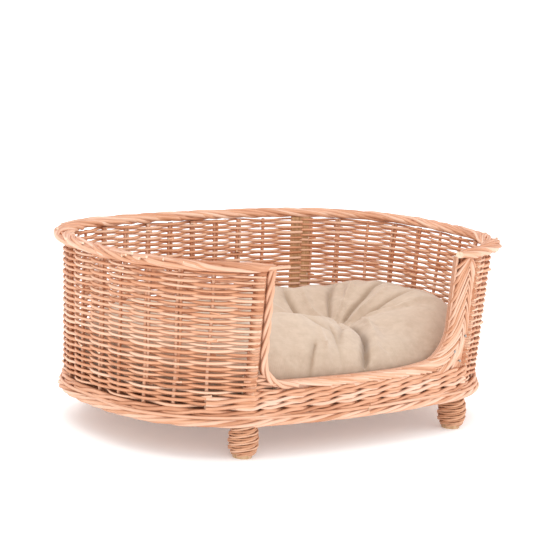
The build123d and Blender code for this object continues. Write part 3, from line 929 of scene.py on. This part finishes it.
slat_wood = wood("slat_wood", (0.48, 0.255, 0.115), (0.66, 0.40, 0.20), (0.78, 0.53, 0.30),
                 (170.0, 170.0, 9.0))
peg_wood = wood("peg_wood", (0.40, 0.23, 0.115), (0.60, 0.39, 0.22), (0.74, 0.53, 0.34),
                (120.0, 120.0, 20.0))


def skin(name, rings):
    """Closed surface through rings of points, one above the next, each end closed on its middle."""
    levels, sides = rings.shape[:2]
    verts = np.concatenate([rings.reshape(-1, 3), rings[:1].mean(1), rings[-1:].mean(1)])
    i, k = np.meshgrid(np.arange(levels - 1), np.arange(sides), indexing="ij")
    m = (k + 1) % sides
    quads = np.stack([i * sides + k, i * sides + m, (i + 1) * sides + m, (i + 1) * sides + k], -1)
    k = np.arange(sides)
    m = (k + 1) % sides
    bottom = levels * sides
    low_fan = np.stack([m, k, np.full(sides, bottom)], -1)
    high_fan = np.stack([(levels - 1) * sides + k, (levels - 1) * sides + m, np.full(sides, bottom + 1)], -1)
    faces = quads.reshape(-1, 4).tolist() + low_fan.tolist() + high_fan.tolist()
    mesh = bpy.data.meshes.new(name)
    mesh.from_pydata(verts.tolist(), [], faces)
    mesh.shade_smooth()
    piece = bpy.data.objects.new(name, mesh)
    bpy.context.scene.collection.objects.link(piece)
    return piece


corner_angle = np.arange(32) * 2 * math.pi / 32
lath_across = 0.0180 * np.sign(np.cos(corner_angle)) * np.abs(np.cos(corner_angle)) ** 0.22
lath_through = 0.0034 * np.sign(np.sin(corner_angle)) * np.abs(np.sin(corner_angle)) ** 0.35
lath_z = np.linspace(weave_foot, weave_head + 0.002, 60)
lath_bow = 0.0006 * np.sin(lath_z * 31.0)
lath_point, lath_normal = wall_point(slat_place + 0 * lath_z, lath_z, lath_bow)
lath_side = np.stack([-lath_normal[:, 1], lath_normal[:, 0], 0 * lath_z], -1)
lath = skin("back_slat_lath", lath_point[:, None] + lath_side[:, None] * lath_across[None, :, None]
            + lath_normal[:, None] * lath_through[None, :, None])
finish_piece(lath, slat_wood, "wood_slat", "back_slat")

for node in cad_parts:
    if node.startswith("foot_peg") or node == "foot_dowels":
        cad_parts[node].data.materials.clear()
        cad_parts[node].data.materials.append(peg_wood)

steel = bpy.data.materials.new("nail_steel")
steel.use_nodes = True
steel_tree = steel.node_tree
steel_shader = steel_tree.nodes["Principled BSDF"]
steel_grain = add_noise(steel_tree, None, 900.0)
steel_colour = add_ramp(steel_tree, steel_grain, ((0.0, (0.22, 0.21, 0.20)), (1.0, (0.52, 0.51, 0.50))))
steel_tree.links.new(steel_colour, steel_shader.inputs["Base Color"])
steel_shader.inputs["Metallic"].default_value = 0.85
steel_shader.inputs["Roughness"].default_value = 0.42
nail_s = np.array([0.1845, 0.2010, 0.2085])[:, None]
nail_z = np.array([0.1275, 0.1110, 0.1500])[:, None]
nail_out = np.array([-0.004, 0.0085, 0.0087, 0.0094, 0.0098])[None]
nail_path, _ = wall_point(nail_s + 0 * nail_out, nail_z + 0 * nail_out, nail_out + 0 * nail_s)
nail_radius = np.array([0.0010, 0.0010, 0.0023, 0.0021, 0.0009])[None] + 0 * nail_s
nails = rod_mesh("nails", nail_path, nail_radius, np.array([0, 0, 1.0]), sides=16)
finish_piece(nails, steel, "steel_fixings", "plait_nails")

# ---------------------------------------------------------------------------------------------
# Cushion. A loose pad of soft beige cotton, sewn round its edge and tied down at two tufts, so
# that slack cloth gathers into folds that run out from each tuft. It is stuffed with fibre.
# ---------------------------------------------------------------------------------------------
tuft_x = 0.124
seam_z = 0.104
cushion_floor = float(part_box("cushion_cover")[0][2])
height_marks = np.array([
    (-0.30, -0.12, 0.168), (-0.22, -0.15, 0.168), (-0.15, -0.12, 0.181), (-0.08, -0.10, 0.184),
    (-0.03, -0.10, 0.178), (0.02, -0.10, 0.166), (0.055, -0.09, 0.153), (0.085, -0.10, 0.141),
    (0.115, -0.09, 0.150), (0.15, -0.10, 0.166), (0.20, -0.10, 0.174), (0.26, -0.10, 0.198),
    (0.31, -0.08, 0.200), (-0.20, -0.18, 0.152), (-0.10, -0.17, 0.155), (-0.02, -0.17, 0.150),
    (0.03, -0.18, 0.140), (0.08, -0.18, 0.142), (0.16, -0.17, 0.150), (0.24, -0.16, 0.172),
    (-0.05, -0.05, 0.166), (0.02, -0.05, 0.152), (0.07, -0.045, 0.141), (0.16, -0.05, 0.157),
    (0.20, -0.055, 0.172), (0.27, -0.04, 0.206), (0.31, -0.02, 0.204), (0.05, 0.0, 0.138),
    (0.0, 0.0, 0.146), (0.175, 0.0, 0.156), (0.22, 0.01, 0.178), (0.27, 0.04, 0.206), (0.30, 0.06, 0.199),
    (0.09, 0.045, 0.142), (0.02, 0.05, 0.156), (0.14, 0.05, 0.155), (0.19, 0.06, 0.168), (0.24, 0.10, 0.192),
    (0.18, 0.12, 0.182), (0.10, 0.12, 0.181), (0.02, 0.12, 0.180), (0.10, 0.17, 0.170), (0.20, 0.16, 0.170),
    (0.02, 0.17, 0.168), (-0.08, 0.12, 0.178), (-0.18, 0.12, 0.180), (-0.26, 0.09, 0.182),
    (-0.29, 0.0, 0.184), (-0.26, -0.06, 0.182), (-0.20, 0.0, 0.160), (-0.06, 0.05, 0.156),
    (-0.06, 0.0, 0.146), (-0.16, 0.06, 0.160), (-0.17, -0.06, 0.162), (-0.10, 0.17, 0.166),
    (-0.20, 0.17, 0.166),
    (tuft_x, plan_centre_y, 0.126), (-tuft_x, plan_centre_y, 0.128)])


def height_between(marks, x, y):
    """Smooth surface through height marks: a linear spread from each mark, weighed so that the sum
    meets every mark, over a level plane."""
    def spread(ax, ay, bx, by):
        """Distance between two places, rounded off near nothing."""
        return np.sqrt((ax - bx) ** 2 + (ay - by) ** 2 + 0.018 ** 2)
    level = marks[:, 2].mean()
    matrix = spread(marks[:, None, 0], marks[:, None, 1], marks[None, :, 0], marks[None, :, 1])
    weights = np.linalg.solve(matrix, marks[:, 2] - level)
    total = np.full(np.shape(x), level)
    for weight, (mx, my, _) in zip(weights, marks):
        total = total + weight * spread(x, y, mx, my)
    return total


swell = 0.0035
rim_steps = 200
ring_steps = 44
pad_inset = 0.0190
edge_s = np.linspace(0, round_length, rim_steps, endpoint=False)
edge_foot, edge_normal = foot_oval(edge_s)
edge_xy = (edge_foot + edge_normal * -pad_inset)[:, :2] - np.array([0, plan_centre_y])
fraction = np.sin(np.linspace(0.0, math.pi / 2, ring_steps + 1)[1:])
top_xy = edge_xy[None] * fraction[::-1, None, None]
crown = (1 - fraction[::-1] ** 9.0) ** 0.5
top_h = height_between(height_marks, top_xy[..., 0], top_xy[..., 1] + plan_centre_y) - swell
top_z = seam_z + (top_h - seam_z) * crown[:, None]
low_xy = edge_xy[None] * fraction[:-1, None, None]
belly = (1 - fraction[:-1] ** 9.0) ** 0.6
low_z = seam_z - (seam_z - cushion_floor - 0.001) * belly
low_rings = np.concatenate([low_xy, np.broadcast_to(low_z[:, None, None], low_xy.shape[:2] + (1,))], -1)
top_rings = np.concatenate([top_xy, top_z[..., None]], -1)
pad_rings = np.concatenate([low_rings, top_rings])
pad_rings[..., 1] += plan_centre_y
cover = skin("cushion_cotton", pad_rings)
remesh = cover.modifiers.new("even", "REMESH")
remesh.mode = "VOXEL"
remesh.voxel_size = 0.0045
bpy.context.view_layer.objects.active = cover
bpy.ops.object.select_all(action="DESELECT")
cover.select_set(True)
bpy.ops.object.modifier_apply(modifier="even")


rest_points = mesh_points(cover)
near_tuft = np.minimum(np.hypot(rest_points[:, 0] - tuft_x, rest_points[:, 1] - plan_centre_y),
                       np.hypot(rest_points[:, 0] + tuft_x, rest_points[:, 1] - plan_centre_y))
held = (near_tuft < 0.011) | (rest_points[:, 2] < cushion_floor + 0.003)
pins = cover.vertex_groups.new(name="held")
pins.add(np.where(held)[0].tolist(), 1.0, "REPLACE")
cloth = cover.modifiers.new("swell", "CLOTH")
cloth.settings.use_pressure = True
cloth.settings.uniform_pressure_force = 4.0
cloth.settings.vertex_group_mass = "held"
cloth.settings.effector_weights.gravity = 0.0
cloth.settings.tension_stiffness = 12.0
cloth.settings.compression_stiffness = 12.0
cloth.settings.bending_stiffness = 0.4
cloth.point_cache.frame_start = 1
cloth.point_cache.frame_end = 20
for frame_number in range(1, 21):
    bpy.context.scene.frame_set(frame_number)
bpy.ops.object.modifier_apply(modifier="swell")
bpy.context.scene.frame_set(1)
moved = mesh_points(cover) - rest_points
far = np.linalg.norm(moved, axis=1, keepdims=True)
cap = 0.0055
set_points(cover, rest_points + moved * np.minimum(1.0, cap / np.maximum(far, 1e-9)))
cover.vertex_groups.clear()

smoother = cover.modifiers.new("finer", "SUBSURF")
smoother.levels = 1
smoother.render_levels = 1
bpy.ops.object.modifier_apply(modifier="finer")

# Each fold: its line over the cushion, its height, where a valley is negative, its width, and
# how much of its height is gone at the far end.
folds = [
    (((0.120, -0.040), (0.092, -0.095), (0.060, -0.150), (0.014, -0.206)), -0.0165, 0.0052, 0.2),
    (((0.136, -0.050), (0.112, -0.100), (0.082, -0.150), (0.040, -0.204)), 0.0085, 0.0120, 0.6),
    (((0.104, -0.040), (0.075, -0.090), (0.040, -0.140), (-0.005, -0.195)), 0.0050, 0.0110, 0.8),
    (((0.080, -0.060), (0.050, -0.110), (0.010, -0.150), (-0.010, -0.170)), -0.0045, 0.0050, 0.5),
    (((0.138, -0.006), (0.190, 0.012), (0.240, 0.030), (0.292, 0.050)), -0.0085, 0.0065, 1.0),
    (((0.132, 0.004), (0.175, 0.036), (0.220, 0.066), (0.262, 0.088)), 0.0085, 0.0100, 1.0),
    (((0.128, 0.010), (0.160, 0.054), (0.200, 0.094), (0.235, 0.118)), -0.0075, 0.0065, 1.0),
    (((0.142, -0.018), (0.185, -0.016), (0.232, -0.004), (0.285, 0.012)), 0.0070, 0.0100, 1.0),
    (((0.142, -0.028), (0.185, -0.038), (0.225, -0.042), (0.270, -0.044)), -0.0062, 0.0060, 0.8),
    (((0.146, -0.040), (0.180, -0.066), (0.215, -0.084), (0.250, -0.094)), 0.0050, 0.0110, 0.7),
    (((0.108, 0.000), (0.085, 0.036), (0.092, 0.080), (0.112, 0.120)), -0.0090, 0.0060, 0.9),
    (((0.118, 0.006), (0.112, 0.044), (0.130, 0.086), (0.165, 0.125)), 0.0065, 0.0100, 0.9),
    (((0.100, -0.008), (0.060, 0.020), (0.040, 0.055), (0.040, 0.100)), 0.0060, 0.0110, 0.8),
    (((0.104, -0.018), (0.060, -0.018), (0.010, -0.014), (-0.060, -0.012)), -0.0080, 0.0110, 1.0),
    (((0.100, -0.034), (0.050, -0.058), (-0.010, -0.066), (-0.070, -0.066)), -0.0048, 0.0060, 0.8),
    (((0.104, -0.044), (0.060, -0.082), (0.000, -0.104), (-0.060, -0.112)), 0.0045, 0.0090, 0.8),
    (((-0.055, -0.168), (-0.075, -0.186), (-0.090, -0.200), (-0.095, -0.210)), -0.0055, 0.0048, 0.5),
    (((-0.035, -0.172), (-0.050, -0.190), (-0.070, -0.202), (-0.078, -0.212)), 0.0050, 0.0070, 0.9),
    (((0.010, -0.120), (-0.004, -0.150), (-0.020, -0.180), (-0.030, -0.204)), -0.0032, 0.0050, 0.7),
    (((-0.020, -0.130), (-0.034, -0.160), (-0.046, -0.186), (-0.052, -0.204)), 0.0030, 0.0060, 0.7),
    (((-0.104, -0.020), (-0.060, -0.060), (-0.020, -0.110), (0.000, -0.150)), -0.0050, 0.0080, 0.8),
    (((-0.140, -0.020), (-0.190, -0.050), (-0.230, -0.080), (-0.270, -0.100)), -0.0070, 0.0080, 0.9),
    (((-0.140, 0.000), (-0.190, 0.030), (-0.230, 0.060), (-0.260, 0.090)), -0.0070, 0.0080, 0.9),
    (((-0.124, 0.010), (-0.130, 0.060), (-0.140, 0.100), (-0.150, 0.130)), 0.0060, 0.0100, 0.9),
    (((-0.110, 0.000), (-0.080, 0.050), (-0.060, 0.090), (-0.050, 0.130)), -0.0060, 0.0080, 0.9),
    (((-0.130, -0.034), (-0.150, -0.080), (-0.160, -0.120), (-0.165, -0.160)), -0.0060, 0.0080, 0.9)]


def fold_lift(x, y, line, height, width, reach):
    """Lift of the cloth along one fold: highest on its line, gone a few widths away, rising from
    nothing at the tuft and dying out towards its far end."""
    marks = np.array(line)
    t = np.linspace(0, 1, 60)
    path = np.stack([np.interp(t, np.linspace(0, 1, len(marks)), marks[:, axis]) for axis in (0, 1)], -1)
    kernel = np.hanning(13) / np.hanning(13).sum()
    padded_path = np.concatenate([np.repeat(path[:1], 6, 0), path, np.repeat(path[-1:], 6, 0)])
    path = np.stack([np.convolve(padded_path[:, axis], kernel, "valid") for axis in (0, 1)], -1)
    gap = np.full(x.shape, 1.0)
    where = np.zeros(x.shape)
    for step in range(len(path)):
        distance = np.hypot(x - path[step, 0], y - path[step, 1])
        nearer = distance < gap
        gap = np.where(nearer, distance, gap)
        where = np.where(nearer, t[step], where)
    spread = width * (0.55 + 0.75 * where)
    strength = np.clip(where / 0.10, 0, 1) * (1 - reach * np.clip((where - 0.35) / 0.65, 0, 1) ** 1.5)
    strength = np.where(where <= 0, np.exp(-(gap / width) ** 2) * 0.3, strength)
    profile = np.exp(-np.abs(gap / (0.85 * spread)) ** 1.25)
    return 1.25 * height * strength * profile


pad = mesh_points(cover)
upper = eased((pad[:, 2] - seam_z - 0.004) / 0.020)
lift = np.zeros(len(pad))
for line, height, width, reach in folds:
    near = (np.abs(pad[:, 0] - np.mean([p[0] for p in line])) < 0.16) & (upper > 0)
    lift[near] += fold_lift(pad[near, 0], pad[near, 1], line, height, width, min(1.0, reach))
for sign in (1.0, -1.0):
    dx = pad[:, 0] - sign * tuft_x
    dy = pad[:, 1] - plan_centre_y
    away = np.hypot(dx, dy)
    bearing = np.arctan2(dy, dx)
    clear = np.clip(away / 0.008, 0, 1)
    lift += 0.0016 * np.sin(bearing * 11 + 1.3 * sign + 14 * away) * np.exp(-away / 0.045) * clear
    lift += 0.0010 * np.sin(bearing * 19 + 2.0 + 30 * away) * np.exp(-away / 0.030) * clear
slack = np.sin(pad[:, 0] * 47 + 3 * np.sin(pad[:, 1] * 23))
slack = slack * np.sin(pad[:, 1] * 38 + 2 * np.sin(pad[:, 0] * 19))
slack = slack + 0.5 * np.sin(pad[:, 0] * 97 + 2 + 2 * np.sin(pad[:, 1] * 61))
pad[:, 2] += upper * (lift + 0.0011 * slack)
edge_away = np.abs(pad[:, 2] - seam_z)
at_seam = np.exp(-(edge_away / 0.0022) ** 2)
middle = np.array([0.0, plan_centre_y])
inwards = middle - pad[:, :2]
inwards /= np.linalg.norm(inwards, axis=1, keepdims=True) + 1e-9
pad[:, :2] += inwards * (0.0016 * at_seam)[:, None]
pucker = np.sin(np.arctan2(pad[:, 1], pad[:, 0]) * 64) * np.exp(-(edge_away / 0.018) ** 2)
pad[:, 2] += 0.0009 * pucker * (1 - at_seam)
set_points(cover, pad)
cover.data.shade_smooth()
# Painted shade: the cotton is to be coloured darker down the valleys of the folds, where the fold lift is
# below nothing.
painted_fold_shade_amount = np.clip(0.5 - lift * 85.0, 0, 1)
painted_fold_shade = cover.data.attributes.new("painted_fold_shade", "FLOAT", "POINT")
painted_fold_shade.data.foreach_set("value", painted_fold_shade_amount.astype(np.float32))

cotton = bpy.data.materials.new("beige_cotton")
cotton.use_nodes = True
cotton_tree = cotton.node_tree
cotton_shader = cotton_tree.nodes["Principled BSDF"]
cotton_place = cotton_tree.nodes.new("ShaderNodeTexCoord").outputs["Object"]
weave_sum = cotton_tree.nodes.new("ShaderNodeMath")
weave_sum.operation = "ADD"
for socket, (axis, fineness) in enumerate((("X", 620.0), ("Y", 560.0))):
    threads = cotton_tree.nodes.new("ShaderNodeTexWave")
    threads.wave_type = "BANDS"
    threads.bands_direction = axis
    threads.inputs["Scale"].default_value = fineness / 6.283
    threads.inputs["Distortion"].default_value = 1.2
    threads.inputs["Detail"].default_value = 2.0
    cotton_tree.links.new(cotton_place, threads.inputs["Vector"])
    cotton_tree.links.new(threads.outputs["Fac"], weave_sum.inputs[socket])
mottle = add_noise(cotton_tree, cotton_place, 75.0, 8.0, 0.65)
rumple = add_noise(cotton_tree, cotton_place, 70.0, 4.0)
cotton_colour = add_ramp(cotton_tree, mottle, ((0.28, (0.485, 0.365, 0.272)), (0.74, (0.585, 0.452, 0.348))))
# Painted shade: down the fold valleys the cotton's colour is mixed towards (0.33, 0.225, 0.150).
fold_shade_reader = cotton_tree.nodes.new("ShaderNodeAttribute")
fold_shade_reader.attribute_name = "painted_fold_shade"
fold_shade_share = add_range(cotton_tree, fold_shade_reader.outputs["Fac"], 0.5, 1.0, 0.0, 0.72)
cotton_tree.links.new(add_mix(cotton_tree, fold_shade_share, cotton_colour, (0.33, 0.225, 0.150)),
                      cotton_shader.inputs["Base Color"])
cotton_shader.inputs["Roughness"].default_value = 0.88
cotton_shader.inputs["Sheen Weight"].default_value = 0.25
cotton_shader.inputs["Sheen Roughness"].default_value = 0.5
cotton_shader.inputs["Specular IOR Level"].default_value = 0.2
rumpled = add_bump(cotton_tree, rumple, 0.22, 0.003)
cotton_tree.links.new(add_bump(cotton_tree, weave_sum.outputs[0], 0.25, 0.0003, rumpled),
                      cotton_shader.inputs["Normal"])
cover.data.materials.clear()
cover.data.materials.append(cotton)
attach(cover, "cushion")
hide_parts("cushion_cover")

# The stuffing is the same form, well inside the slack cotton; each tie is a waxed thread
# through the pad with a knot pulled down in its tuft.
fibre_middle_z = 0.094
fibre_plan_share = 0.90
fibre_height_share = 0.45
fibre_rings = pad_rings.copy()
fibre_rings[..., :2] = middle + (fibre_rings[..., :2] - middle) * fibre_plan_share
fibre_rings[..., 2] = fibre_middle_z + (fibre_rings[..., 2] - fibre_middle_z) * fibre_height_share
fibre = skin("cushion_fibre_pad", fibre_rings)
fibre_stuff = wood("fibre_white", (0.70, 0.69, 0.67), (0.80, 0.79, 0.77), (0.88, 0.87, 0.86),
                   (160.0, 160.0, 160.0))
fibre.data.materials.append(fibre_stuff)
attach(fibre, "cushion")
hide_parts("cushion_filling")
knot_z = 0.129
thread_z = np.linspace(cushion_floor + 0.004, knot_z, 12)
knot_turn = np.arange(24) * 2 * math.pi / 24
knot_reach = 0.0024
thread_path = np.stack([np.stack([tuft * tuft_x + 0 * thread_z, plan_centre_y + 0 * thread_z, thread_z], -1)
                        for tuft in (-1, 1)])
threads = rod_mesh("tie_threads", thread_path, 0.0011, np.array([0, 1.0, 0]), sides=8)
knot_path = np.stack([np.stack([tuft * tuft_x + knot_reach * np.cos(knot_turn),
                                plan_centre_y + knot_reach * np.sin(knot_turn),
                                knot_z + 0.0006 * np.sin(2 * knot_turn)], -1) for tuft in (-1, 1)])
knots = rod_mesh("tie_knots", knot_path, 0.0012, np.array([0, 0, 1.0]), sides=8, closed=True)
ties = joined("tuft_thread_ties", [threads, knots])
thread_stuff = willow("thread_linen", (0.36, 0.26, 0.17), (0.52, 0.39, 0.28), (0.66, 0.52, 0.40), bump=0.5,
                      streak=400.0)
ties.data.materials.clear()
ties.data.materials.append(thread_stuff)
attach(ties, "cushion")
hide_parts("cushion_tuft_ties")
